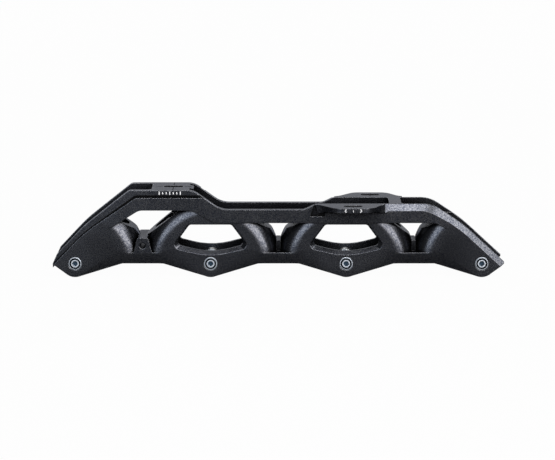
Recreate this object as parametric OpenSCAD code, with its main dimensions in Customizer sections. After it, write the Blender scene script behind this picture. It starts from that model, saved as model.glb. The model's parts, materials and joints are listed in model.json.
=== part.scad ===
// Inline skate frame for four wheels in a row, with a three-bolt boot mount.
// X runs from heel to toe, Y across the frame and Z up; the outer side of the foot is at -Y.
// The origin lies under the middle of the wheelbase, on the lowest line of the frame.

/* [Wheel line] */
// Distance from one axle to the next
wheel_pitch = 108.33; // [104:0.01:113]
// Diameter of the wheels that the frame takes
wheel_d = 100; // [90:1:102]
// Room between a wheel's tread and the web in front of it
tread_gap = 2; // [1:0.5:3]
// Height of the axles over the lowest line of the frame
axle_z = 11; // [9.5:0.1:12]
// Width of a wheel's hub over its two bearings
hub_w = 24.3; // [23.5:0.1:25]

/* [Wheel pods] */
// Clear width between the side walls at a wheel
pocket_w = 27; // [26:0.1:28]
// Thickness of a side wall
wall_t = 4.5; // [3.5:0.1:6]
// Thickness of the cross web between two wheels
web_t = 3.6; // [3:0.1:5]
// Radius of the rounded shoulder from the side wall to the web
shoulder_r = 16; // [9:0.1:17]
// How far the tips reach past the end axles
tip_reach = 18; // [14:0.5:20]
// Thickness of the bulkhead that joins two pods
bulkhead_t = 3.3; // [2.5:0.1:5]
// Height of the bulkhead
bulkhead_z = 28.5; // [25:0.5:31]
// Distance of the flat cut over a pod's web from its axle
cut_reach = 46.2; // [45:0.1:50]
// Lean of that cut
cut_lean = 28; // [24:1:34]
// Distance of the flat cut on the outer side of a middle pod from its axle
outer_cut_reach = 48.8; // [47:0.1:52]
// Lean of that cut
outer_cut_lean = 38.5; // [34:0.5:44]

/* [Lower rail] */
// Height of the rail's underside between two lobes
rail_low = 10.7; // [10:0.1:12]
// Height of the rail's upper edge
rail_top = 19.9; // [17:0.1:22]
// Slope of the underside from a lobe up to the rail
rail_slope = 16.4; // [14:0.1:20]
// Slope of the underside from an end lobe up to the tip
tip_slope = 36.5; // [32:0.5:42]
// How far the rail's face lies inside the pods' side walls
rail_set = 0.4; // [0.2:0.1:1]
// How far the rail tucks in towards its lower edge
rail_tuck = 2.4; // [1:0.1:3]
// Length of the tucked face's slope beside an end axle
tuck_run_end = 31; // [26:1:36]
// Length of the tucked face's slope beside a middle axle
tuck_run_mid = 40; // [34:1:44]

/* [Upper beams] */
// Clear width between the two beams
channel_w = 28; // [27:0.1:29]
// Thickness of a beam
beam_t = 4.5; // [4.2:0.1:6]
// Height of the beams' lower edge over the windows
beam_low = 44.1; // [43:0.1:46]
// Height of the beams' top between heel and toe
beam_top = 54.8; // [52:0.1:57]
// Height of the lower edge under the heel
arch_z = 54.2; // [50:0.1:56]
// Radius of the channel's corners at the heel seat and the bridge
channel_end_r = 4; // [2:0.5:8]

/* [Windows] */
// Height of the windows' upper edge
window_top = 43.1; // [40:0.1:43.5]
// Width of a window at its upper edge
window_top_w = 36; // [28:0.5:40]
// Width of a window at its widest
window_w = 59.6; // [50:0.2:62]
// Height of the widest place
window_mid_z = 26.6; // [25:0.1:29]
// Width of a window at its lower corners
window_low_w = 53.4; // [46:0.2:56]
// Height of the lower corners
window_low_z = 22.6; // [21:0.1:24]
// Height of the lower edge over the axle
window_base_z = 19; // [18:0.1:20]
// Slant of the windows' lower edge through the wall
window_chamfer = 2.6; // [1:0.1:3]

/* [Heel mount] */
// Place of the heel bolt along the frame
heel_x = -84; // [-90:0.5:-80]
// Height of the heel seat
heel_z = 70.5; // [67:0.1:75]
// Length of the heel seat
heel_len = 32; // [28:1:36]
// Distance from the heel bolt to the rear edge of its seat
heel_back = 17; // [14:0.5:20]
// Width of the tongue at the front of the heel seat
tongue_w = 14; // [10:0.5:20]
// Length of that tongue
tongue_l = 3; // [1:0.5:5]
// Thickness of the heel seat
heel_t = 7.5; // [5:0.5:8]
// Height of the riser over the outer wall
riser_h = 6.3; // [4:0.1:7]
// How far the riser's face stands out over the beam's face
riser_out = 0.8; // [0.4:0.1:1.5]
// Height of the groove under the riser's face
groove_h = 2.4; // [1:0.1:3]
// Depth of that groove at the heel
groove_d = 3; // [0.6:0.1:3.2]
// Depth of that groove at the rear tip
groove_tip_d = 1.2; // [0.6:0.1:1.5]
// Distance of the riser's face from the centre line at the rear tip
riser_tip_half = 16.4; // [16:0.1:17.5]
// Length of the heel slot
heel_slot_l = 16.2; // [12:0.1:20]
// Width of the three bolt slots
slot_w = 6.5; // [5.2:0.1:8.5]

/* [Toe mount] */
// Height of the toe seat
toe_z = 59.1; // [57:0.1:62]
// Reach of the two ears from the middle of the frame
ear_reach = 36.5; // [34:0.5:40]
// Thickness of an ear at its rim
ear_t = 3.7; // [3:0.1:5]
// Thickness of an ear where it meets the beam
ear_root_t = 7; // [5:0.5:9]
// Length of an ear's straight rim with its two corners
ear_rim_l = 27; // [24:0.5:30]
// Place of the outer ear's slot along the frame
outer_ear_x = 59; // [56:0.5:62]
// Place of the inner ear's slot along the frame
inner_ear_x = 74.5; // [70:0.5:76]
// Distance of the ears' slots from the middle of the frame
ear_slot_y = 26; // [25:0.5:28]
// Length of an ear's slot
ear_slot_l = 15.5; // [10:0.1:18]
// Depth of the hollow behind an ear
scoop_d = 2.2; // [1:0.1:3]
// Height of that hollow under the ear
scoop_h = 2.8; // [1.5:0.1:4]
// Rear edge of the bridge between the beams
bridge_x = 88.5; // [84:0.5:92]
// Length of the bridge on the centre line
bridge_len = 9.5; // [6:0.5:14]
// Thickness of the bridge
bridge_t = 6; // [4:0.5:7]
// Width of the slanted face along the front beams
bevel_w = 3.2; // [2:0.1:4]
// Height of that slanted face
bevel_h = 5.2; // [3:0.1:7]

/* [Brake anchor] */
// Width of the anchor block at its foot
anchor_foot_w = 15; // [12:0.5:18]
// Width of the anchor block at its top
anchor_w = 8.5; // [7:0.1:10]
// Height of the anchor block's top
anchor_top = 31.8; // [30:0.1:33]
// Height of the anchor's threaded hole
anchor_hole_z = 25.4; // [24:0.1:26]
// Diameter of the anchor's threaded hole
anchor_hole_d = 4.2; // [3.3:0.1:5]

/* [Axles] */
// Diameter of an axle
axle_d = 8; // [6:0.1:8.5]
// How much thinner the axle is at its threaded end
thread_step = 0.5; // [0.3:0.1:1]
// Height of the axle's head
head_h = 2.6; // [2.2:0.1:3]
// How far the head stands out of the wall
head_proud = 0.2; // [0:0.1:0.5]
// Width across the flats of the hexagon socket
socket_w = 4; // [3:0.5:5]
// Depth of the hexagon socket
socket_depth = 3.2; // [2.5:0.1:4]
// Diameter of the ring sunk in the head, on its outer edge
ring_d = 8.8; // [8:0.1:9]
// Width of that ring
ring_w = 1; // [0.6:0.1:1.2]
// Depth of that ring
ring_depth = 0.6; // [0.3:0.1:1]

/* [Bushes] */
// Diameter of a bush where it sits in the wall
bush_d = 11; // [10.6:0.1:13]
// Diameter of a bush's collar at the wall
collar_d = 14; // [13:0.1:16]
// Diameter of the collar where it meets the bearing
collar_face_d = 11.6; // [11:0.1:12.5]

/* [Fits] */
// Gap round an axle in its plain bush and in its thread
running_gap = 0.05; // [0.02:0.01:0.1]
// Gap round an axle's head in the wall
head_gap = 0.2; // [0.1:0.05:0.4]
// Gap between a bush and the wall that holds it
bush_gap = 0.01; // [0.005:0.005:0.02]
// Gap between a seated face and its seat
seat_gap = 0.05; // [0.02:0.01:0.2]

/* [Hidden] */
$fn = 96;
arc_steps = 5;
slack = 1;
lobe_dip = 0.05;
line_r = axle_z - lobe_dip;
thread_d = axle_d - thread_step;
head_d = bush_d - 2 * head_gap;
axle_count = 4;
pocket_half = pocket_w / 2;
wall_half = pocket_half + wall_t;
rail_half = wall_half - rail_set;
channel_half = channel_w / 2;
beam_half = channel_half + beam_t;
riser_half = beam_half + riser_out;
pocket_r = wheel_d / 2 + tread_gap;
pod_r = pocket_r + web_t;
pocket_round = shoulder_r - wall_t;
pod_top = beam_low + 3;
bulkhead_half = 10;
shelf_z = heel_z - riser_h;
heel_rear = heel_x - heel_len / 2;
heel_front = heel_x + heel_len / 2;
bridge_front = bridge_x + bridge_len;
anchor_x = (axle_x(0) + axle_x(1)) / 2;
tip_x = axle_x(axle_count - 1) + tip_reach;
tip_z = slope_z(tip_slope, tip_reach);
wide = 2 * ear_reach;
tall = 2 * heel_z;
last_x = axle_x(axle_count - 1);
rear_knee = [axle_x(0) + 7.5, 41.6];
front_knee = [last_x - 14.5, 42.1];
toe_end_x = last_x - 40;
slope_round = 120;
tail_chamfer = [3.4, 7.5];
heel_run = 18.5;
heel_drop = 22;
ear_rise = 38.5;
ear_crest = 29.5;
shelf_run = 13.5;
shelf_dip = 2.5;
shelf_share = 0.92;
shelf_lift = 0.15;
knee_lift = 0.3;
riser_sink = 2;
riser_knee = 8;
flank_run = 23.5;
flank_drop = 7.5;
arch_run = 11;
arch_end = 14.5;
arch_fall = 3;
arch_join = 0.5;
channel_past = 0.2;
front_run = 37.5;
taper_from = 18.5;
taper_to = 36.5;
end_past = 0.05;
axle_short = 0.5;
axle_lead = 0.6;
head_lead = 0.4;
bush_short = 0.3;
hole_lead = 0.6;
tuck_tilt = atan(rail_tuck / (rail_top - rail_low));
tip_face = 1.4;
ear_set = 0.3;
ear_tail = 36;
ear_heel = 27;
ear_front = 24;
ear_nose = 33;
ear_corner = 9;
ear_hollow = 12;
ear_under = [7, 1];
ear_rim_w = 4;
scoop_rear = [33.8, 30.4];
scoop_front = [28, 29.5];
scoop_end = 22;
bevel_start = 26;
bevel_lean = 2;
bevel_past = 0.3;
window_past = 0.25;
anchor_round = 1.5;
lobe_margin = 0.3;
head_seat = wall_half + head_proud - head_h;
hole_r = bush_d / 2 + bush_gap;

// Places along the wheel line

function axle_x(i) = (i - (axle_count - 1) / 2) * wheel_pitch;

// Height of a line that rises from the lobe round an axle, at a distance from that axle
function slope_z(slope, run) = axle_z + (run * sin(slope) - line_r) / cos(slope);

// Distance from the axle at which that line has reached a height
function slope_run(slope, z) = ((z - axle_z) * cos(slope) + line_r) / sin(slope);

// Where the line leaves the lobe; side is 1 towards the toe and -1 towards the heel
function lobe_point(i, slope, side, out = 0) =
    [axle_x(i) + side * (line_r + out) * sin(slope), axle_z - (line_r + out) * cos(slope)];

// Outlines

function unit(v) = v / norm(v);

// Points on the arc that rounds the corner b between a and c
function corner(a, b, c, r) =
    let (
        u = unit(a - b),
        w = unit(c - b),
        half = acos(u * w) / 2,
        centre = b + unit(u + w) * r / sin(half),
        from = b + u * r / tan(half) - centre,
        to = b + w * r / tan(half) - centre,
        start = atan2(from.y, from.x),
        turn = (atan2(to.y, to.x) - start + 540) % 360 - 180
    )
    [for (k = [0:arc_steps])
        let (at = start + turn * k / arc_steps)
        centre + r * [cos(at), sin(at)]];

// An outline with its corners rounded; each point is [x, y] or [x, y, radius]
function rounded(points) =
    let (n = len(points), flat = [for (p = points) [p.x, p.y]])
    [for (i = [0:n - 1])
        each len(points[i]) == 2
            ? [flat[i]]
            : corner(flat[(i + n - 1) % n], flat[i], flat[(i + 1) % n], points[i].z)];

// A solid with the outline given in side view, from y0 to y1 across the frame
module across(y0, y1) {
    translate([0, y1, 0])
        rotate([90, 0, 0])
            linear_extrude(y1 - y0)
                children();
}

// A solid with the outline given in plan, from z0 to z1
module upright(z0, z1) {
    translate([0, 0, z0])
        linear_extrude(z1 - z0)
            children();
}

// A solid between two side outlines with equally many points, one at y0 and one at y1
module loft(outer, y0, inner, y1) {
    n = len(outer);
    points = concat([for (p = outer) [p.x, y0, p.y]], [for (p = inner) [p.x, y1, p.y]]);
    sides = [for (k = [0:n - 1]) each
        let (next = (k + 1) % n)
        [[k, next, n + next], [k, n + next, n + k]]];
    caps = [[for (k = [n - 1:-1:0]) k], [for (k = [0:n - 1]) n + k]];
    polyhedron(points, concat(sides, caps));
}

module both_sides() {
    children();
    mirror([0, 1, 0])
        children();
}

// A slot along X with round ends
module slot(l, w) {
    square([l - w, w], center = true);
    for (side = [-1, 1])
        translate([side * (l - w) / 2, 0])
            circle(d = w);
}

// Side view of the frame

// The upper edge from a place on the toe seat down to the front tip
function front_edge(x) = [
    [x, toe_z],
    [toe_end_x, toe_z, 25],
    [front_knee.x, front_knee.y, slope_round],
    [tip_x, tip_z + tip_face]
];

// Everything under the upper edge of the riser, one beam and the front; the toe rises behind that beam's ear
module under_top(ear_x) {
    polygon(rounded(concat(
        [
            [-tip_x, -slack],
            [-tip_x, tip_z],
            [tail_chamfer.x - tip_x, tip_z + tail_chamfer.y, 2],
            [rear_knee.x, rear_knee.y, slope_round],
            [heel_rear - heel_run, heel_z, 5],
            [heel_front, heel_z, 15],
            [heel_front + heel_drop, beam_top, 20],
            [ear_x - ear_rise, beam_top, 9],
            [ear_x - ear_crest, toe_z, 6]
        ],
        [for (k = [1:3]) front_edge(0)[k]],
        [
            [tip_x, tip_z],
            [tip_x, -slack]
        ]
    )));
}

// Everything under the upper edge of the outer walls, below the riser
// A lift raises that edge, less so towards the tail
module under_shelf(lift = 0) {
    polygon(rounded([
        [-tip_x - slack, -tall],
        [-tip_x - slack, tip_z - shelf_dip + lift * shelf_lift],
        [rear_knee.x, rear_knee.y - riser_h * shelf_share + lift * knee_lift, slope_round],
        [heel_rear - shelf_run, shelf_z + lift, 6],
        [tip_x + slack, shelf_z + lift],
        [tip_x + slack, -tall]
    ]));
}

// Everything under the lower edge of the beams
module under_beam() {
    polygon(rounded([
        [-tip_x - slack, -slack],
        [-tip_x - slack, beam_low - flank_drop],
        [axle_x(0) + flank_run, beam_low - flank_drop],
        [heel_rear - arch_run, arch_z, 10],
        [axle_x(1) - arch_end, arch_z, 14],
        [axle_x(1) + arch_fall, beam_low, 10],
        [last_x - front_run, beam_low, 10],
        [last_x - flank_run, beam_low - flank_drop],
        [tip_x + slack, beam_low - flank_drop],
        [tip_x + slack, -slack]
    ]));
}

// The rail between two neighbouring axles
module rail_side(i) {
    run = slope_run(rail_slope, rail_low);
    polygon([
        [axle_x(i), rail_top],
        [axle_x(i), axle_z],
        lobe_point(i, rail_slope, 1),
        [axle_x(i) + run, rail_low],
        [axle_x(i + 1) - run, rail_low],
        lobe_point(i + 1, rail_slope, -1),
        [axle_x(i + 1), axle_z],
        [axle_x(i + 1), rail_top]
    ]);
}

// The end of a wall outside an end axle; side is -1 at the heel and 1 at the toe
module tip_side(i, side) {
    polygon([
        [axle_x(i), rail_top],
        [axle_x(i), axle_z],
        lobe_point(i, tip_slope, side),
        [side * tip_x, tip_z],
        [side * tip_x, rail_top]
    ]);
}

// The side walls with their lobes, up to a little over the beams' lower edge and into the arch under the heel
module wall_side() {
    intersection() {
        union() {
            for (i = [0:axle_count - 1])
                translate([axle_x(i), axle_z])
                    circle(r = axle_z);
            for (i = [0:axle_count - 2])
                rail_side(i);
            tip_side(0, -1);
            tip_side(axle_count - 1, 1);
            translate([-tip_x, rail_top])
                square([2 * tip_x, pod_top - rail_top]);
            translate([anchor_x, rail_top])
                square([axle_x(1) - arch_fall / 2 - anchor_x, arch_z + arch_join - rail_top]);
        }
        under_top(outer_ear_x);
        under_shelf();
    }
}

// Frame casting

// A wheel pod is turned about its axle: flat sides, a rounded shoulder and the web over the tread
module turned(r, half, round_r) {
    rotate([90, 0, 0])
        rotate_extrude() {
            translate([0, -half])
                square([r - round_r, 2 * half]);
            translate([0, round_r - half])
                square([r, 2 * (half - round_r)]);
            for (side = [-1, 1])
                translate([r - round_r, side * (half - round_r)])
                    intersection() {
                        circle(r = round_r);
                        translate([0, -round_r])
                            square([round_r, 2 * round_r]);
                    }
        }
}

// A pod's web is cut off flat towards each neighbour, more steeply on the outer side of a middle pod
module wheel_pod(i) {
    last = axle_count - 1;
    translate([axle_x(i), 0, axle_z])
        difference() {
            turned(pod_r, wall_half, shoulder_r);
            for (side = [-1, 1])
                if (i + side >= 0 && i + side <= last) {
                    outer = i > 0 && i < last && side * axle_x(i) > 0;
                    rotate([0, side * (outer ? outer_cut_lean : cut_lean), 0])
                        translate([-pod_r, -wide, outer ? outer_cut_reach : cut_reach])
                            cube([2 * pod_r, 2 * wide, pod_r]);
                }
        }
}

// Over their tops the pods leave the channel between the beams clear
module wheel_pods() {
    clear_half = channel_half + channel_past;
    difference() {
        intersection() {
            union()
                for (i = [0:axle_count - 1])
                    wheel_pod(i);
            across(-wide, wide)
                wall_side();
        }
        translate([anchor_x, -clear_half, pod_top + end_past])
            cube([axle_x(1) - anchor_x, 2 * clear_half, tall]);
    }
}

// A bulkhead stands on the rails between each two pods
module bulkheads() {
    for (i = [0:axle_count - 2])
        translate([(axle_x(i) + axle_x(i + 1) - bulkhead_t) / 2, -bulkhead_half, rail_low + slack])
            cube([bulkhead_t, 2 * bulkhead_half, bulkhead_z - rail_low - slack]);
}

module wheel_pockets() {
    for (i = [0:axle_count - 1])
        translate([axle_x(i), 0, axle_z])
            turned(pocket_r, pocket_half, pocket_round);
}

module rails() {
    across(-rail_half, rail_half)
        for (i = [0:axle_count - 2])
            rail_side(i);
}

// Everything below and outside a slanted face that starts at a line in side view
module tuck_space(from, to) {
    rise = atan2(to.y - from.y, to.x - from.x);
    translate([from.x, -wall_half, from.y])
        rotate([0, -rise, 0])
            rotate([tuck_tilt, 0, 0])
                translate([-tip_x, -wide, -tall])
                    cube([2 * tip_x, wide, tall]);
}

// Cuts the outer face of a rail back towards its lower edge
module rail_tucks(i) {
    run_a = i == 0 ? tuck_run_end : tuck_run_mid;
    run_b = i == axle_count - 2 ? tuck_run_end : tuck_run_mid;
    knee_a = [axle_x(i) + run_a, rail_top];
    knee_b = [axle_x(i + 1) - run_b, rail_top];
    both_sides()
        intersection() {
            tuck_space(lobe_point(i, rail_slope, 1, lobe_margin), knee_a);
            tuck_space(knee_a, knee_b);
            tuck_space(knee_b, lobe_point(i + 1, rail_slope, -1, lobe_margin));
        }
}

// The beams stand proud of the pods and run out into the end walls
module beam_plan() {
    end_half = wall_half - rail_set;
    half = [
        [-tip_x - slack, end_half],
        [axle_x(0) + taper_from, end_half],
        [axle_x(0) + taper_to, beam_half],
        [last_x - taper_to, beam_half],
        [last_x - taper_from, end_half],
        [tip_x + slack, end_half]
    ];
    polygon(concat(half, [for (k = [len(half) - 1:-1:0]) [half[k].x, -half[k].y]]));
}

module side_beams() {
    intersection() {
        for (side = [-1, 1])
            across(min(side * wide, side * channel_half), max(side * wide, side * channel_half))
                difference() {
                    intersection() {
                        under_top(side < 0 ? outer_ear_x : inner_ear_x);
                        under_shelf();
                    }
                    under_beam();
                }
        upright(0, tall)
            beam_plan();
    }
}

// The riser follows the upper edge from the rear tip to the heel, down to the outline given as its child
// Its face lies at one distance from the centre line at the tip and at another from the heel on
module riser_part(tip_half, heel_half) {
    half = [
        [-tip_x - slack, tip_half],
        [heel_rear - riser_knee, heel_half],
        [heel_front + heel_len, heel_half]
    ];
    intersection() {
        both_sides()
            across(-wide, -channel_half)
                difference() {
                    under_top(outer_ear_x);
                    children();
                }
        upright(0, tall)
            polygon(concat(half, [for (k = [len(half) - 1:-1:0]) [half[k].x, -half[k].y]]));
    }
}

// A groove runs under the riser's face
module heel_riser() {
    riser_part(riser_tip_half - groove_tip_d, riser_half - groove_d)
        translate([0, -riser_sink])
            under_shelf();
    riser_part(riser_tip_half, riser_half)
        under_shelf(groove_h);
}

// The end of the channel in plan: it lies at x, has rounded corners and opens towards side
module channel_end(x, side) {
    half = channel_half + end_past;
    r = channel_end_r;
    translate([x, 0])
        rotate(side > 0 ? 0 : 180) {
            translate([r, -half])
                square([channel_w, 2 * half]);
            translate([0, r - half])
                square([2 * r, 2 * (half - r)]);
            for (edge = [-1, 1])
                translate([r, edge * (half - r)])
                    circle(r = r);
        }
}

// A plate between the two beams from x0 to x1, under z; each channel end that it meets is [x, side]
module cross_plate(x0, x1, z, t, ends) {
    half = channel_half + slack / 2;
    upright(z - t, z)
        difference() {
            translate([x0, -half])
                square([x1 - x0, 2 * half]);
            for (end = ends)
                channel_end(end.x, end.y);
        }
}

module heel_seat() {
    rear = heel_x - heel_back;
    front = heel_front - tongue_l;
    intersection() {
        union() {
            cross_plate(rear - channel_end_r, front, heel_z, heel_t, [[rear, -1]]);
            upright(heel_z - heel_t, heel_z)
                translate([front - slack, -tongue_w / 2])
                    square([tongue_l + slack, tongue_w]);
        }
        across(-wide, wide)
            under_top(outer_ear_x);
    }
}

module toe_bridge() {
    rear = bridge_x - channel_end_r;
    front = bridge_front + channel_end_r;
    cross_plate(rear, front, toe_z, bridge_t, [[bridge_x, -1], [bridge_front, 1]]);
}

// An ear on the outer side, with its slot at x
module ear(x) {
    root = beam_half - ear_set;
    rim = ear_rim_l / 2;
    intersection() {
        upright(0, tall)
            polygon(rounded([
                [x - ear_tail, -channel_half - slack],
                [x - ear_tail, -root],
                [x - ear_heel, -root, ear_hollow],
                [x - rim, -ear_reach, ear_corner],
                [x + rim, -ear_reach, ear_corner],
                [x + ear_front, -root, ear_hollow],
                [x + ear_nose, -root],
                [x + ear_nose, -channel_half - slack]
            ]));
        rotate([90, 0, 90])
            linear_extrude(tip_x)
                polygon([
                    [-wide, toe_z + slack],
                    [0, toe_z + slack],
                    [0, toe_z - ear_root_t],
                    [-beam_half, toe_z - ear_root_t],
                    [-beam_half - ear_under.x, toe_z - ear_t - ear_under.y],
                    [ear_rim_w - ear_reach, toe_z - ear_t],
                    [-wide, toe_z - ear_t]
                ]);
        across(-wide, wide)
            under_top(x);
    }
}

module toe_ears() {
    ear(outer_ear_x);
    mirror([0, 1, 0])
        ear(inner_ear_x);
}

// Hollows in the beam's face behind and under each ear
module ear_scoop(x) {
    under = toe_z - ear_root_t;
    across(-wide, scoop_d - beam_half)
        polygon([
            [x - scoop_rear[0], under - scoop_h],
            [x - scoop_end, under - scoop_h],
            [x - scoop_end, under],
            [x - scoop_front[0], under],
            [x - scoop_front[1], toe_z + slack],
            [x - scoop_rear[1], toe_z + slack]
        ]);
}

module ear_scoops() {
    ear_scoop(outer_ear_x);
    mirror([0, 1, 0])
        ear_scoop(inner_ear_x);
}

module ear_slots() {
    for (place = [[outer_ear_x, -ear_slot_y], [inner_ear_x, ear_slot_y]])
        translate(place)
            upright(0, tall)
                slot(ear_slot_l, slot_w);
}

// Cuts the slanted face along the outer edge of a front beam, from x to the tip
module front_bevel(x) {
    step = [-bevel_lean, -bevel_h];
    top = front_edge(x);
    run_out = top[3] + bevel_past * (top[3] - front_knee);
    edge = rounded([top[0], top[1], top[2], run_out, [run_out.x, tall], [x, tall]]);
    loft(
        [for (p = edge) p + (1 + bevel_past) * step],
        -beam_half - bevel_past * bevel_w,
        [for (p = edge) p - bevel_past * step],
        -beam_half + (1 + bevel_past) * bevel_w
    );
}

module front_bevels() {
    front_bevel(outer_ear_x + bevel_start);
    mirror([0, 1, 0])
        front_bevel(inner_ear_x + bevel_start);
}

// The brake anchor stands on the rails between the first two wheels
module anchor_block() {
    across(-rail_half, rail_half)
        translate([anchor_x, 0])
            polygon(rounded([
                [-anchor_foot_w / 2, rail_top - slack],
                [anchor_foot_w / 2, rail_top - slack],
                [anchor_w / 2, anchor_top, anchor_round],
                [-anchor_w / 2, anchor_top, anchor_round]
            ]));
}

module anchor_hole() {
    translate([anchor_x, 0, anchor_hole_z])
        rotate([90, 0, 0]) {
            cylinder(d = anchor_hole_d, h = 2 * wide, center = true);
            for (side = [0, 1])
                mirror([0, 0, side])
                    translate([0, 0, rail_half - hole_lead])
                        cylinder(d1 = anchor_hole_d, d2 = anchor_hole_d + 4 * hole_lead, h = 2 * hole_lead);
        }
}

// The outline of a window, drawn in from the wall's outer face
function window_edge(i, inset) =
    let (x = axle_x(i), top = window_top_w / 2, mid = window_w / 2, low = window_low_w / 2)
    rounded([
        [x - top + inset / 2, window_top - inset / 3, 3],
        [x - mid + inset, window_mid_z + inset / 2, 3.5],
        [x - low + inset, window_low_z + inset, 3],
        [x, window_base_z - window_chamfer + inset, 60],
        [x + low - inset, window_low_z + inset, 3],
        [x + mid - inset, window_mid_z + inset / 2, 3.5],
        [x + top - inset / 2, window_top - inset / 3, 3]
    ]);

module windows() {
    for (i = [1, 2]) {
        across(-wide, wide)
            polygon(window_edge(i, window_chamfer));
        both_sides()
            loft(
                window_edge(i, -window_past * window_chamfer),
                -wall_half - window_past * window_chamfer,
                window_edge(i, (1 + window_past) * window_chamfer),
                -wall_half + (1 + window_past) * window_chamfer
            );
    }
}

module bush_holes() {
    for (i = [0:axle_count - 1])
        translate([axle_x(i), 0, axle_z])
            rotate([90, 0, 0])
                cylinder(r = hole_r, h = 2 * wide, center = true);
}

module frame_casting() {
    color("dimgray")
        difference() {
            union() {
                wheel_pods();
                bulkheads();
                rails();
                anchor_block();
                side_beams();
                heel_riser();
                heel_seat();
                toe_bridge();
                toe_ears();
            }
            wheel_pockets();
            for (i = [0:axle_count - 2])
                rail_tucks(i);
            windows();
            front_bevels();
            ear_scoops();
            ear_slots();
            translate([heel_x, 0, 0])
                upright(0, tall)
                    slot(heel_slot_l, slot_w);
            anchor_hole();
            bush_holes();
        }
}

// Axles and bushes, each turned about its axle line with its height towards -Y

module on_axle(i) {
    translate([axle_x(i), 0, axle_z])
        rotate([90, 0, 0])
            children();
}

module axle(i) {
    end = axle_short - wall_half;
    thread_start = -hub_w / 2 + seat_gap;
    top = head_seat + head_h;
    ring_r = ring_d / 2;
    ring_slant = ring_w / 5;
    color("silver")
        on_axle(i)
            difference() {
                rotate_extrude()
                    polygon([
                        [0, end],
                        [thread_d / 2 - axle_lead, end],
                        [thread_d / 2, end + axle_lead],
                        [thread_d / 2, thread_start],
                        [axle_d / 2, thread_start],
                        [axle_d / 2, head_seat],
                        [head_d / 2, head_seat],
                        [head_d / 2, top - head_lead],
                        [head_d / 2 - head_lead, top],
                        [ring_r, top],
                        [ring_r - ring_slant, top - ring_depth],
                        [ring_r - ring_w + ring_slant, top - ring_depth],
                        [ring_r - ring_w, top],
                        [0, top]
                    ]);
                translate([0, 0, top - socket_depth])
                    cylinder(d = socket_w / cos(30), h = socket_depth + slack, $fn = 6);
            }
}

// A bush with its collar against the wall; it is made for the outer side
module bush(bore_d, outer_end) {
    bore_r = bore_d / 2 + running_gap;
    rotate_extrude()
        polygon([
            [bore_r, hub_w / 2],
            [collar_face_d / 2, hub_w / 2],
            [collar_d / 2, pocket_half],
            [bush_d / 2, pocket_half],
            [bush_d / 2, outer_end],
            [bore_r, outer_end]
        ]);
}

module plain_bush(i) {
    color("gainsboro")
        on_axle(i)
            bush(axle_d, head_seat - seat_gap);
}

module thread_bush(i) {
    color("gainsboro")
        on_axle(i)
            mirror([0, 0, 1])
                bush(thread_d, wall_half - bush_short);
}

frame_casting();
for (i = [1:axle_count]) {
    axle(i - 1);
    plain_bush(i - 1);
    thread_bush(i - 1);
}
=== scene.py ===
"""Looks of an inline skate frame: coat, plated and turned metal, marks, light and camera."""
import json
import math

import bmesh
import bpy
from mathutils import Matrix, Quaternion, Vector


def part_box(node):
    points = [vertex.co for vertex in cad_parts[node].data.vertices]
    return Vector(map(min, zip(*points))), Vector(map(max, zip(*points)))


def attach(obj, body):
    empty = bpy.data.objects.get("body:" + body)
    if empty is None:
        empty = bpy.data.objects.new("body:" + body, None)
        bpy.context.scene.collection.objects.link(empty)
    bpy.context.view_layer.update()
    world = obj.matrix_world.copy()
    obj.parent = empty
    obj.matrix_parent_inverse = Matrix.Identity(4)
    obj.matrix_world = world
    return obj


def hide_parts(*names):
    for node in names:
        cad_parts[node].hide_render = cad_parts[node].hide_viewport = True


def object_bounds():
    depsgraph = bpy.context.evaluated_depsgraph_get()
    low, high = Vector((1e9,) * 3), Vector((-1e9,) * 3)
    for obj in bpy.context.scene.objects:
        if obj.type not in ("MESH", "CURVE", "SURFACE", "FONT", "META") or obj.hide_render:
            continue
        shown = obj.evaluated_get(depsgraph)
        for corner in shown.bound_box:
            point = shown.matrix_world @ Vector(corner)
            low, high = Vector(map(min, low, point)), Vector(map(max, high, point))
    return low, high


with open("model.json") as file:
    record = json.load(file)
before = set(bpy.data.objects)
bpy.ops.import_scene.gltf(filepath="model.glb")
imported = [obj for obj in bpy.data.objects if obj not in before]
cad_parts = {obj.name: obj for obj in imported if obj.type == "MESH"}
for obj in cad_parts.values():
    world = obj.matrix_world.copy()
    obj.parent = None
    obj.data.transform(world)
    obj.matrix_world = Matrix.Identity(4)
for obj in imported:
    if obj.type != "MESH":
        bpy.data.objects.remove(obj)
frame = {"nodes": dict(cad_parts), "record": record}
cad_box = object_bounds()
nodes = frame["nodes"]
mounts = {mount["name"]: Vector(mount["pos_m"]) for mount in frame["record"]["mounts"]}
scene = bpy.context.scene

MM = 0.001
X, Y, Z = Vector((1, 0, 0)), Vector((0, 1, 0)), Vector((0, 0, 1))
AXLES = 4

# Camera: the width of the picture in pixels, and the point in the middle of the view
PHOTO_WIDTH = 555
PIXELS_PER_METRE = 1242.5
ELEVATION = math.radians(11.2)
DISTANCE = 1.75
AIM = Vector((-0.72, 0.0, 34.86)) * MM
SENSOR = 36.0

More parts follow.
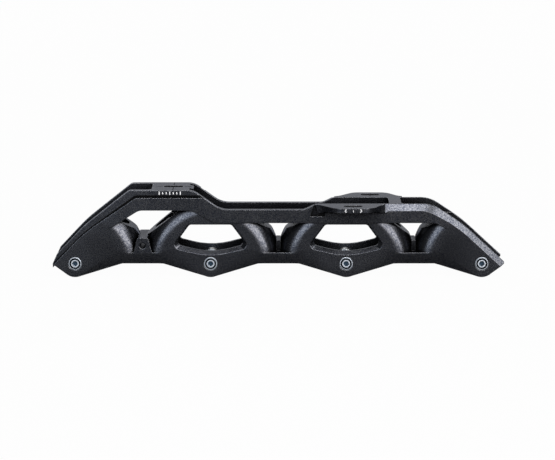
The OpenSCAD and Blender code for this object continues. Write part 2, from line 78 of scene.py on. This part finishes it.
# Axle sizes in millimetres, along Y from the tip to the face of the head
AXLE_TIP, THREAD_START, HEAD_BACK, HEAD_FACE = 17.5, 12.1, -15.6, -18.2
AXLE_LEAD = 0.6
THREAD_R, THREAD_DEPTH, THREAD_PITCH = 3.75, 0.5, 1.0
SHAFT_R, HEAD_R, HEAD_CHAMFER = 4.0, 5.3, 0.4
GROOVE_OUTER, GROOVE_INNER, GROOVE_FLARE, GROOVE_DEPTH = 4.2, 3.6, 0.2, 0.6
SOCKET_W, SOCKET_DEPTH = 4.0, 3.2
SHAFT_AND_HEAD = (
    (THREAD_START, SHAFT_R),
    (HEAD_BACK, SHAFT_R),
    (HEAD_BACK, HEAD_R),
    (HEAD_FACE + HEAD_CHAMFER, HEAD_R),
    (HEAD_FACE, HEAD_R - HEAD_CHAMFER),
    (HEAD_FACE, GROOVE_OUTER + GROOVE_FLARE),
    (HEAD_FACE + GROOVE_DEPTH, GROOVE_OUTER),
    (HEAD_FACE + GROOVE_DEPTH, GROOVE_INNER),
    (HEAD_FACE, GROOVE_INNER - GROOVE_FLARE),
)

# Rings of an axle's mesh, and the flank of its thread as a share of the depth over half a pitch
RING_CORNERS = 48
RINGS_PER_TURN = 8
FLANK_START, FLANK_SLOPE = 1.1, 1.2

# Places of the printed marks, in metres, and sizes of the marks, in millimetres
RISER_FACE_Y = -19.3 * MM
RIM_FACE_Y = -36.5 * MM
MARK_DEPTH = 0.06 * MM
SCALE_SHIFT = Vector((-2.2, 0.0, -2.1)) * MM
ARROWS_DROP = 1.8 * MM
TICK_PITCH, TICK_HALF_W, LONG_TICK, SHORT_TICK = 2.8, 0.36, 1.25, 0.85
TICKS_EACH_WAY, LONG_EVERY = 3, 3
ARROW_OUT, ARROW_RISE, ARROW_HALF_L, ARROW_HALF_W, ARROW_TILT = 6.1, 0.58, 0.9, 0.3, 48
MIDDLE_TICK = (0.0, -0.3, 0.2, 0.8, 0)

# Colours
WHITE = (1, 1, 1, 1)
FLAKE_DARK, FLAKE_PALE = (0.044, 0.049, 0.066, 1), (0.146, 0.150, 0.166, 1)
CLOUD_TONE = (0.116, 0.117, 0.126, 1)
PAINTED_SHADE_TONE = (0.012, 0.012, 0.013, 1)
RUBBED_AND_HIGHLIGHT_TONE = (0.34, 0.34, 0.345, 1)
GRAZING_TINT = (0.50, 0.51, 0.54, 1)
POLISHED_EDGE = (0.86, 0.87, 0.89, 1)
SOCKET_PAINTED_SHADE, GROOVE_PAINTED_SHADE = (0.055, 0.09, 0.13, 1), (0.018, 0.022, 0.028, 1)
PAPER_TONES = (0.66, 0.66, 0.66, 1), (0.64, 0.64, 0.645, 1)
WARM, FAINTLY_WARM = (1.0, 0.975, 0.95), (1.0, 0.99, 0.97)
COOL, NEUTRAL = (0.88, 0.94, 1.0), (1.0, 1.0, 1.0)

# Stage sizes in metres
FLOOR_HALF = 6.0
FLOOR_GAP = 0.2 * MM
LAMP_DISTANCE = 3.0

# Lamps: name, azimuth, elevation and roll in degrees, width and height in metres, level, colour
LAMPS = (
    ("front_right", 29, 9, 28, 2.00, 2.10, 4.7, WARM),
    ("front_left", -22, 9, -26, 1.60, 2.10, 2.9, COOL),
    ("high_front", 0, 53, 0, 1.90, 0.74, 5.8, NEUTRAL),
    ("high_right", 48, 32, 0, 1.30, 1.05, 4.2, FAINTLY_WARM),
    ("overhead", 0, 80, 0, 1.90, 0.90, 0.5, NEUTRAL),
    ("rear_right", 147, 14, -26, 1.50, 1.90, 3.2, NEUTRAL),
    ("rear_left", -147, 14, 26, 1.50, 1.90, 3.2, NEUTRAL),
)


# Shader building
class Nodes:
    """Short ways to add nodes to a tree and to feed sockets with links or plain values."""

    def __init__(self, tree):
        self.tree = tree

    def node(self, kind, inputs=None, **attributes):
        made = self.tree.nodes.new("ShaderNode" + kind)
        for name, value in attributes.items():
            setattr(made, name, value)
        for key, value in (inputs or {}).items():
            self.feed(made.inputs[key], value)
        return made

    def feed(self, socket, value):
        if isinstance(value, bpy.types.NodeSocket):
            self.tree.links.new(value, socket)
        else:
            socket.default_value = value

    def math(self, operation, first, second=0.0):
        return self.node("Math", {0: first, 1: second}, operation=operation).outputs[0]

    def product(self, first, second):
        return self.math("MULTIPLY", first, second)

    def total(self, first, second):
        return self.math("ADD", first, second)

    def either(self, first, second):
        return self.math("MAXIMUM", first, second)

    def vector(self, operation, first, second=(0.0, 0.0, 0.0), output="Vector"):
        made = self.node("VectorMath", {0: first, 1: second}, operation=operation)
        return made.outputs[output]

    def parts(self, vector):
        return self.node("SeparateXYZ", {0: vector}).outputs

    def noise(self, place, per_metre, detail=2.0, rough=0.5):
        inputs = {"Vector": place, "Scale": per_metre, "Detail": detail, "Roughness": rough}
        return self.node("TexNoise", inputs).outputs["Fac"]

    def ramp(self, value, between, to=(0.0, 1.0)):
        inputs = {"Value": value, "From Min": between[0], "From Max": between[1],
                  "To Min": to[0], "To Max": to[1]}
        return self.node("MapRange", inputs, clamp=True).outputs[0]

    def blend(self, factor, first, second):
        made = self.node("Mix", data_type="RGBA")
        for index, value in ((0, factor), (6, first), (7, second)):
            self.feed(made.inputs[index], value)
        return made.outputs[2]

    def seen_directly(self, path):
        """A mask for rays that come straight from the camera, or from it through a gap or glass."""
        return self.either(path["Is Camera Ray"], path["Is Transmission Ray"])


class Shader(Nodes):
    """A material with a Principled surface."""

    def __init__(self, name):
        self.material = bpy.data.materials.new(name)
        self.material.use_nodes = True
        super().__init__(self.material.node_tree)
        self.surface = self.tree.nodes["Principled BSDF"]

    def set(self, **values):
        for name, value in values.items():
            self.feed(self.surface.inputs[name.replace("_", " ")], value)

    def bump(self, height, strength, distance, normal=None):
        inputs = {"Height": height, "Strength": strength, "Distance": distance}
        if normal is not None:
            inputs["Normal"] = normal
        return self.node("Bump", inputs).outputs[0]

    def place(self, kind="Object"):
        return self.node("TexCoord").outputs[kind]

    def edge_mask(self, radius):
        """A mask that grows towards edges within the radius, and the normal rounded over them."""
        rounded = self.node("Bevel", {"Radius": radius}, samples=8).outputs[0]
        flat = self.node("NewGeometry").outputs["Normal"]
        near = self.vector("DOT_PRODUCT", rounded, flat, "Value")
        return self.math("SUBTRACT", 1.0, near), rounded

    def open_air(self, reach):
        """How open each place is to its surroundings within the reach."""
        made = self.node("AmbientOcclusion", {"Distance": reach}, samples=8, only_local=True)
        return made.outputs["AO"]


def flake_coat():
    """Black coat with metal flakes: speckled, cloudy, with painted shade where it is sheltered, and
    lighter on edges for worn paint and a painted highlight.
    """
    coat = Shader("flake_coat")
    place = coat.place()
    speckle = coat.noise(place, per_metre=1000.0, rough=0.6)
    grain = coat.noise(place, per_metre=2400.0)
    cloud = coat.noise(place, per_metre=38.0, detail=3.0)
    edge, rounded = coat.edge_mask(0.6 * MM)
    open_air = coat.open_air(36.0 * MM)

    base = coat.blend(coat.ramp(speckle, (0.38, 0.62)), FLAKE_DARK, FLAKE_PALE)
    base = coat.blend(coat.ramp(cloud, (0.42, 0.72), (0.0, 0.2)), base, CLOUD_TONE)
    # Painted shade: the colour turns near black where the part closes in on itself
    base = coat.blend(coat.ramp(open_air, (0.5, 0.96), (1.0, 0.0)), base, PAINTED_SHADE_TONE)
    # Lighter on edges: partly worn paint, partly a painted highlight where rounded edges catch
    # light
    rubbed_and_highlight = coat.product(coat.ramp(edge, (0.03, 0.2)), coat.ramp(grain, (0.3, 0.7), (0.55, 0.9)))
    rubbed_and_highlight = coat.product(rubbed_and_highlight, coat.ramp(open_air, (0.45, 0.75)))
    base = coat.blend(rubbed_and_highlight, base, RUBBED_AND_HIGHLIGHT_TONE)

    gloss = coat.total(coat.ramp(speckle, (0.3, 0.7), (0.29, 0.225)),
                       coat.ramp(cloud, (0.35, 0.7), (-0.02, 0.03)))
    height = coat.total(speckle, coat.product(grain, 0.4))
    coat.set(Base_Color=base, Metallic=0.95, Roughness=gloss, Specular_Tint=GRAZING_TINT,
             Normal=coat.bump(height, strength=0.17, distance=0.1 * MM, normal=rounded))
    return coat.material


def turned(name, colour, dull, rough, pitch, end_rings=()):
    """Metal turned on a lathe about Y, with fine rings, and with broad rings on its outer end.

    Each of the broad rings has its inner and outer radius, as a share of the width, and its tone,
    which is painted shade in the socket and groove of an axle head.
    """
    metal = Shader(name)
    within = metal.place("Generated")
    centred = metal.vector("SUBTRACT", within, (0.5, 0.5, 0.5))
    radius = metal.vector("LENGTH", metal.vector("MULTIPLY", centred, (1.0, 0.0, 1.0)),
                          output="Value")
    fine_rings = metal.math("SINE", metal.product(radius, pitch))
    place = metal.place()
    stain = metal.noise(place, per_metre=380.0, detail=4.0, rough=0.62)
    fine = metal.noise(place, per_metre=2400.0)
    edge, rounded = metal.edge_mask(0.25 * MM)

    base = metal.blend(metal.ramp(stain, (0.4, 0.68)), colour, dull)
    base = metal.blend(metal.ramp(edge, (0.04, 0.25), (0.0, 0.6)), base, POLISHED_EDGE)
    at_end = metal.ramp(metal.parts(within)["Y"], (0.10, 0.11), (1.0, 0.0))
    soft = 0.01
    # Broad rings of painted shade on the outer end
    for inner, outer, tone in end_rings:
        past_inner = metal.ramp(radius, (inner - soft, inner + soft))
        before_outer = metal.ramp(radius, (outer - soft, outer + soft), (1.0, 0.0))
        ring = metal.product(past_inner, before_outer)
        base = metal.blend(metal.product(ring, at_end), base, tone)

    gloss = metal.ramp(stain, (0.3, 0.7), (rough - 0.06, rough + 0.1))
    height = metal.total(metal.product(fine_rings, 0.3), fine)
    metal.set(Base_Color=base, Metallic=1.0, Roughness=gloss,
              Normal=metal.bump(height, strength=0.06, distance=0.04 * MM, normal=rounded))
    return metal.material


def paint(name, colour, worn, shine, rough):
    """Thin paint with small worn patches."""
    ink = Shader(name)
    patch = ink.noise(ink.place(), per_metre=1500.0, detail=3.0, rough=0.6)
    ink.set(Base_Color=ink.blend(ink.ramp(patch, (0.45, 0.75)), colour, worn),
            Specular_IOR_Level=shine,
            Roughness=ink.ramp(patch, (0.3, 0.7), (rough - 0.1, rough + 0.1)),
            Normal=ink.bump(patch, strength=0.15, distance=0.05 * MM))
    return ink.material


COAT = flake_coat()
# The axle heads get painted shade: dark blue in the socket and near black in the groove ring
ZINC = turned("zinc_plate", (0.82, 0.88, 0.96, 1), (0.64, 0.69, 0.77, 1), rough=0.50, pitch=190.0,
              end_rings=((-0.1, 0.2, SOCKET_PAINTED_SHADE), (0.29, 0.43, GROOVE_PAINTED_SHADE)))
TURNED = turned("turned_bush", (0.92, 0.93, 0.94, 1), (0.76, 0.76, 0.77, 1), rough=0.27,
                pitch=260.0)
INK = paint("pale_print", (0.86, 0.86, 0.87, 1), (0.66, 0.66, 0.67, 1), shine=0.35, rough=0.55)
SCRIBE = paint("scribed_line", (0.006, 0.006, 0.007, 1), (0.014, 0.014, 0.016, 1), shine=0.0,
               rough=0.85)


# Metal pieces
def dress(shape, material, crease):
    """Gives a shape its material and smooth shading that breaks at sharp edges."""
    shape.data.materials.clear()
    shape.data.materials.append(material)
    weld = shape.modifiers.new("weld", "WELD")
    weld.merge_threshold = 1e-7
    for face in shape.data.polygons:
        face.use_smooth = True
    split = shape.modifiers.new("creases", "EDGE_SPLIT")
    split.split_angle = math.radians(crease)


def object_of(name, shape):
    """Makes an object of a finished bmesh and puts it into the scene."""
    mesh = bpy.data.meshes.new(name)
    shape.to_mesh(mesh)
    shape.free()
    made = bpy.data.objects.new(name, mesh)
    scene.collection.objects.link(made)
    return made


def add_piece(name, shape, body):
    """Adds a piece and says which body it rides on."""
    piece = object_of(name, shape)
    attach(piece, body)
    return piece


def thread_radius(y, angle):
    """Radius of the cut thread, which runs out towards the shaft and has a lead at the tip."""
    across_pitch = (y / THREAD_PITCH + angle / math.tau) % 1
    cut = min(1.0, max(0.0, FLANK_START - FLANK_SLOPE * abs(2 * across_pitch - 1)))
    run_out = min(1.0, (y - THREAD_START) / THREAD_PITCH)
    lead = max(0.0, AXLE_LEAD - (AXLE_TIP - y))
    return min(THREAD_R - THREAD_DEPTH * cut * run_out, THREAD_R - lead)


def socket_radius(y, angle):
    """Radius of the hexagon socket, with its corners along X."""
    return SOCKET_W / 2 / math.cos(angle % (math.pi / 3) - math.pi / 6)


def axle_outline():
    """The rings of an axle from its tip to the floor of its socket: each has its Y and radius."""
    thread = AXLE_TIP - THREAD_START
    steps = round(thread / THREAD_PITCH * RINGS_PER_TURN)
    outline = [(AXLE_TIP - thread * step / steps, thread_radius) for step in range(steps + 1)]
    outline += [(y, lambda y, angle, radius=radius: radius) for y, radius in SHAFT_AND_HEAD]
    return outline + [(HEAD_FACE, socket_radius), (HEAD_FACE + SOCKET_DEPTH, socket_radius)]


def threaded_axle(node):
    """An axle with its thread cut, which stands for the plain one."""
    low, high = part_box(node)
    middle_x, middle_z = (low[0] + high[0]) / 2, (low[2] + high[2]) / 2
    angles = [math.tau * step / RING_CORNERS for step in range(RING_CORNERS)]
    shape = bmesh.new()
    rings = []
    for y, radius in axle_outline():
        reach = [(angle, radius(y, angle) * MM) for angle in angles]
        rings.append([shape.verts.new((middle_x + r * math.cos(angle), y * MM,
                                       middle_z + r * math.sin(angle))) for angle, r in reach])
    for ring, after in zip(rings, rings[1:]):
        for corner in range(RING_CORNERS):
            beside = (corner + 1) % RING_CORNERS
            shape.faces.new((ring[corner], ring[beside], after[beside], after[corner]))
    shape.faces.new(rings[0])
    shape.faces.new(rings[-1])
    bmesh.ops.recalc_face_normals(shape, faces=shape.faces)
    piece = add_piece(f"threaded_{node}", shape, node)
    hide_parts(node)
    dress(piece, ZINC, crease=30)


dress(nodes["frame_casting"], COAT, crease=22)
for number in range(1, AXLES + 1):
    threaded_axle(f"axle_{number}")
    dress(nodes[f"plain_bush_{number}"], TURNED, crease=30)
    dress(nodes[f"thread_bush_{number}"], TURNED, crease=30)


# Printed and scribed marks
def mark(name, strips, origin, across, up, material):
    """Thin closed strips on a face: each has its middle, half width, half height and lean."""
    out = across.cross(up)
    corners = ((-1, -1), (1, -1), (1, 1), (-1, 1))
    shape = bmesh.new()
    for middle_u, middle_v, half_u, half_v, lean in strips:
        turn = math.radians(lean)
        spin_u = (across * math.cos(turn) + up * math.sin(turn)) * half_u * MM
        spin_v = (up * math.cos(turn) - across * math.sin(turn)) * half_v * MM
        middle = origin + (across * middle_u + up * middle_v) * MM
        low, high = [[shape.verts.new(middle + spin_u * u + spin_v * v + out * lift)
                      for u, v in corners] for lift in (-MARK_DEPTH, MARK_DEPTH)]
        shape.faces.new(low[::-1])
        shape.faces.new(high)
        for side in range(4):
            after = (side + 1) % 4
            shape.faces.new((low[side], low[after], high[after], high[side]))
    piece = add_piece(name, shape, "frame")
    piece.data.materials.append(material)


heel = mounts["heel_slot"]
outer_ear, inner_ear = mounts["outer_toe_slot"], mounts["inner_toe_slot"]

ticks = []
for step in range(-TICKS_EACH_WAY, TICKS_EACH_WAY + 1):
    tick_half = SHORT_TICK if step % LONG_EVERY else LONG_TICK
    ticks.append((step * TICK_PITCH, 0.0, TICK_HALF_W, tick_half, 0))
heel_print = Vector((heel.x, RISER_FACE_Y, heel.z)) + SCALE_SHIFT
mark("heel_scale", ticks, heel_print, X, Z, INK)

arrows = [MIDDLE_TICK]
for side in (-1, 1):
    for tilt in (-1, 1):
        arrows.append((side * ARROW_OUT, tilt * ARROW_RISE, ARROW_HALF_L, ARROW_HALF_W,
                       -side * tilt * ARROW_TILT))
ear_print = Vector((outer_ear.x, RIM_FACE_Y, outer_ear.z - ARROWS_DROP))
mark("toe_arrows", arrows, ear_print, X, Z, INK)



# The scribed lines stop short of the slots and of the edges
def lines_along(out, half_l, half_w):
    """Two strips along a slot, one before it and one behind it."""
    return [(side * out, 0.0, half_l, half_w, 0) for side in (-1, 1)]


def lines_across(out, half_l, half_w):
    """Two strips across a slot, one on each side of it."""
    return [(0.0, side * out, half_w, half_l, 0) for side in (-1, 1)]


seat_lines = lines_along(out=11.6, half_l=2.9, half_w=0.22)
seat_lines += lines_across(out=10.6, half_l=6.6, half_w=0.26)
ear_lines = lines_across(out=5.2, half_l=1.4, half_w=0.24)
mark("heel_lines", seat_lines, heel, X, Y, SCRIBE)
mark("outer_ear_lines", ear_lines, outer_ear, X, Y, SCRIBE)
mark("inner_ear_lines", ear_lines, inner_ear, X, Y, SCRIBE)


# Stage: floor, world, lamps and camera
def pale_floor():
    """Paper that is white to the camera, dim in reflections, and keeps a soft shadow."""
    shape = bmesh.new()
    bmesh.ops.create_grid(shape, x_segments=1, y_segments=1, size=FLOOR_HALF)
    floor = object_of("floor", shape)
    floor.location.z = cad_box[0][2] - FLOOR_GAP
    paper = Shader("paper_floor")
    place = paper.place()
    grain = paper.noise(place, per_metre=60.0, detail=3.0)
    tone = paper.blend(paper.ramp(grain, (0.4, 0.6)), *PAPER_TONES)
    paper.set(Base_Color=tone, Roughness=0.9, Specular_IOR_Level=0.1)

    # Painted shade: in reflections the floor's glow is dimmed under the part, standing in for its
    # shadow, and it is dimmed towards the toe
    path = paper.node("LightPath").outputs
    direct = paper.seen_directly(path)
    along = paper.parts(place)
    aside = paper.math("ABSOLUTE", along["Y"])
    mirrored = paper.product(paper.ramp(aside, (0.028, 0.055), (0.005, 0.050)),
                             paper.ramp(along["X"], (-0.15, 0.15), (1.25, 0.5)))
    level = paper.either(direct, mirrored)
    # What is left of each share is the lit paper, which keeps the shadow
    glow = paper.node("Emission", {"Color": WHITE, "Strength": level}).outputs[0]
    share = paper.either(paper.product(direct, 0.97), paper.product(path["Is Glossy Ray"], 0.9))
    mixed = paper.node("MixShader", {0: share, 1: paper.surface.outputs[0], 2: glow}).outputs[0]
    paper.tree.links.new(mixed, paper.tree.nodes["Material Output"].inputs["Surface"])
    floor.data.materials.append(paper.material)


def white_world():
    """White behind the part, dimmer on the camera's side in reflections, and soft as light."""
    world = bpy.data.worlds.new("studio")
    scene.world = world
    world.use_nodes = True
    sky = Nodes(world.node_tree)
    sky.tree.nodes.clear()
    path = sky.node("LightPath").outputs
    depth = sky.parts(sky.node("TexCoord").outputs["Generated"])["Y"]
    mirrored = sky.product(path["Is Glossy Ray"], sky.ramp(depth, (-0.1, 0.9), (0.03, 0.86)))
    soft = sky.product(path["Is Diffuse Ray"], 0.15)
    level = sky.either(sky.either(sky.seen_directly(path), mirrored), soft)
    light = sky.node("Background", {"Color": WHITE, "Strength": level}).outputs[0]
    sky.node("OutputWorld", {"Surface": light})


def lamp(name, azimuth, elevation, roll, width, height, level, colour):
    """A softbox that faces the part; the azimuth goes to the right of the camera."""
    turn, rise = math.radians(azimuth), math.radians(elevation)
    away = Vector((math.sin(turn) * math.cos(rise), -math.cos(turn) * math.cos(rise),
                   math.sin(rise)))
    light = bpy.data.lights.new(name, "AREA")
    light.shape = "RECTANGLE"
    light.size, light.size_y = width, height
    light.energy = math.pi * width * height * level
    light.color = colour
    holder = bpy.data.objects.new(name, light)
    holder.location = AIM + away * LAMP_DISTANCE
    facing = away.to_track_quat("Z", "Y") @ Quaternion(Z, math.radians(roll))
    holder.rotation_euler = facing.to_euler()
    scene.collection.objects.link(holder)


def photo_camera():
    """A long lens that sees the part as the photograph does."""
    lens = bpy.data.cameras.new("camera")
    lens.sensor_width = SENSOR
    lens.lens = SENSOR * PIXELS_PER_METRE * DISTANCE / PHOTO_WIDTH
    camera = bpy.data.objects.new("camera", lens)
    away = Vector((0.0, -math.cos(ELEVATION), math.sin(ELEVATION)))
    camera.location = AIM + away * DISTANCE
    camera.rotation_euler = (math.pi / 2 - ELEVATION, 0.0, 0.0)
    scene.collection.objects.link(camera)
    scene.camera = camera


pale_floor()
white_world()
for values in LAMPS:
    lamp(*values)
photo_camera()
scene.view_settings.view_transform = "Standard"
